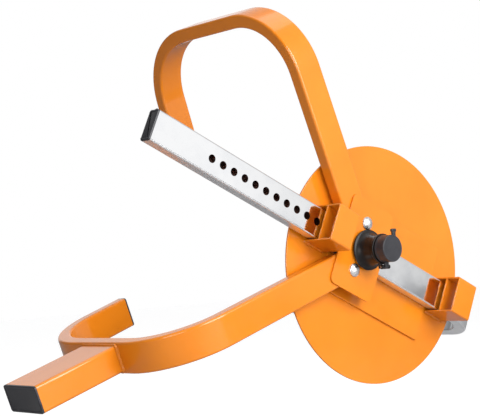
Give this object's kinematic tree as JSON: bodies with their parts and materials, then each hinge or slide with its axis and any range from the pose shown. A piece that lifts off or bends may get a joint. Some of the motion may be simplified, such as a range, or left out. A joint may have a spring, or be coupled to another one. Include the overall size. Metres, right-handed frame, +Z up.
{
  "type": "wheel clamp",
  "caption": "Car wheel clamp: a hub cover disc with two fixed bent claws, a leg, and a sliding chromed claw pinned by a push lock under a dust cap.",
  "frame": {"origin": "where the centre line of the sliding tube crosses the line through the two fixed claws, on the front face of the hub disc, which is where the clamp seats on the wheel", "axes": "+Z up as the clamp hangs on a wheel, -Y out of the front of the disc, +Y into the wheel along its axle, the sliding tube's free end up and towards -X"},
  "size_m": [0.748, 0.4004, 0.5607],
  "materials": {
    "orange_powder_coat": "gloss powder coat",
    "chrome_plate": "polished chrome plate",
    "zinc_steel": "zinc plated",
    "lock_steel": "turned steel",
    "lock_brass": "turned brass",
    "black_plastic": "satin moulded",
    "black_rubber": "moulded rubber"
  },
  "bodies": {
    "frame": {"hub_disc": "orange_powder_coat", "base_plate": "orange_powder_coat", "lock_plate": "orange_powder_coat", "near_guard": "orange_powder_coat", "near_partition": "orange_powder_coat", "far_guard": "orange_powder_coat", "far_partition": "orange_powder_coat", "upper_claw": "orange_powder_coat", "lower_claw": "orange_powder_coat", "stub_leg": "orange_powder_coat", "upper_claw_cap": "black_plastic", "lower_claw_cap": "black_plastic", "stub_cap": "black_plastic", "clamp_bolts": "chrome_plate", "clamp_nuts": "zinc_steel", "clamp_washers": "zinc_steel", "lock_housing": "lock_steel", "stop_screw": "zinc_steel", "return_spring": "zinc_steel", "lock_boot": "black_rubber", "cap_hinge_pin": "zinc_steel"},
    "slide": {"sliding_claw": "chrome_plate", "slide_claw_cap": "black_plastic", "slide_free_cap": "black_plastic"},
    "plunger": {"lock_plunger": "lock_steel", "locking_pin": "lock_steel"},
    "core": {"key_core": "lock_brass"},
    "cap": {"dust_cap": "black_plastic"}
  },
  "joints": [
    {"name": "claw_slide", "type": "slide", "parent": "frame", "child": "slide", "axis": [0.8988, 0, -0.4384], "range_m": [0, 0.3]},
    {"name": "lock_push", "type": "slide", "parent": "frame", "child": "plunger", "axis": [0, 1, 0], "range_m": [0, 0.012], "stiffness_N_per_m": 600, "deforming": ["return_spring"]},
    {"name": "key_turn", "type": "hinge", "parent": "plunger", "child": "core", "pos_m": [-0.01106, -0.06, 0.00539], "axis": [0, -1, 0], "range_deg": [0, 90]},
    {"name": "cap_flip", "type": "hinge", "parent": "frame", "child": "cap", "pos_m": [-0.01106, -0.062, -0.02011], "axis": [1, 0, 0], "range_deg": [0, 150]}
  ]
}
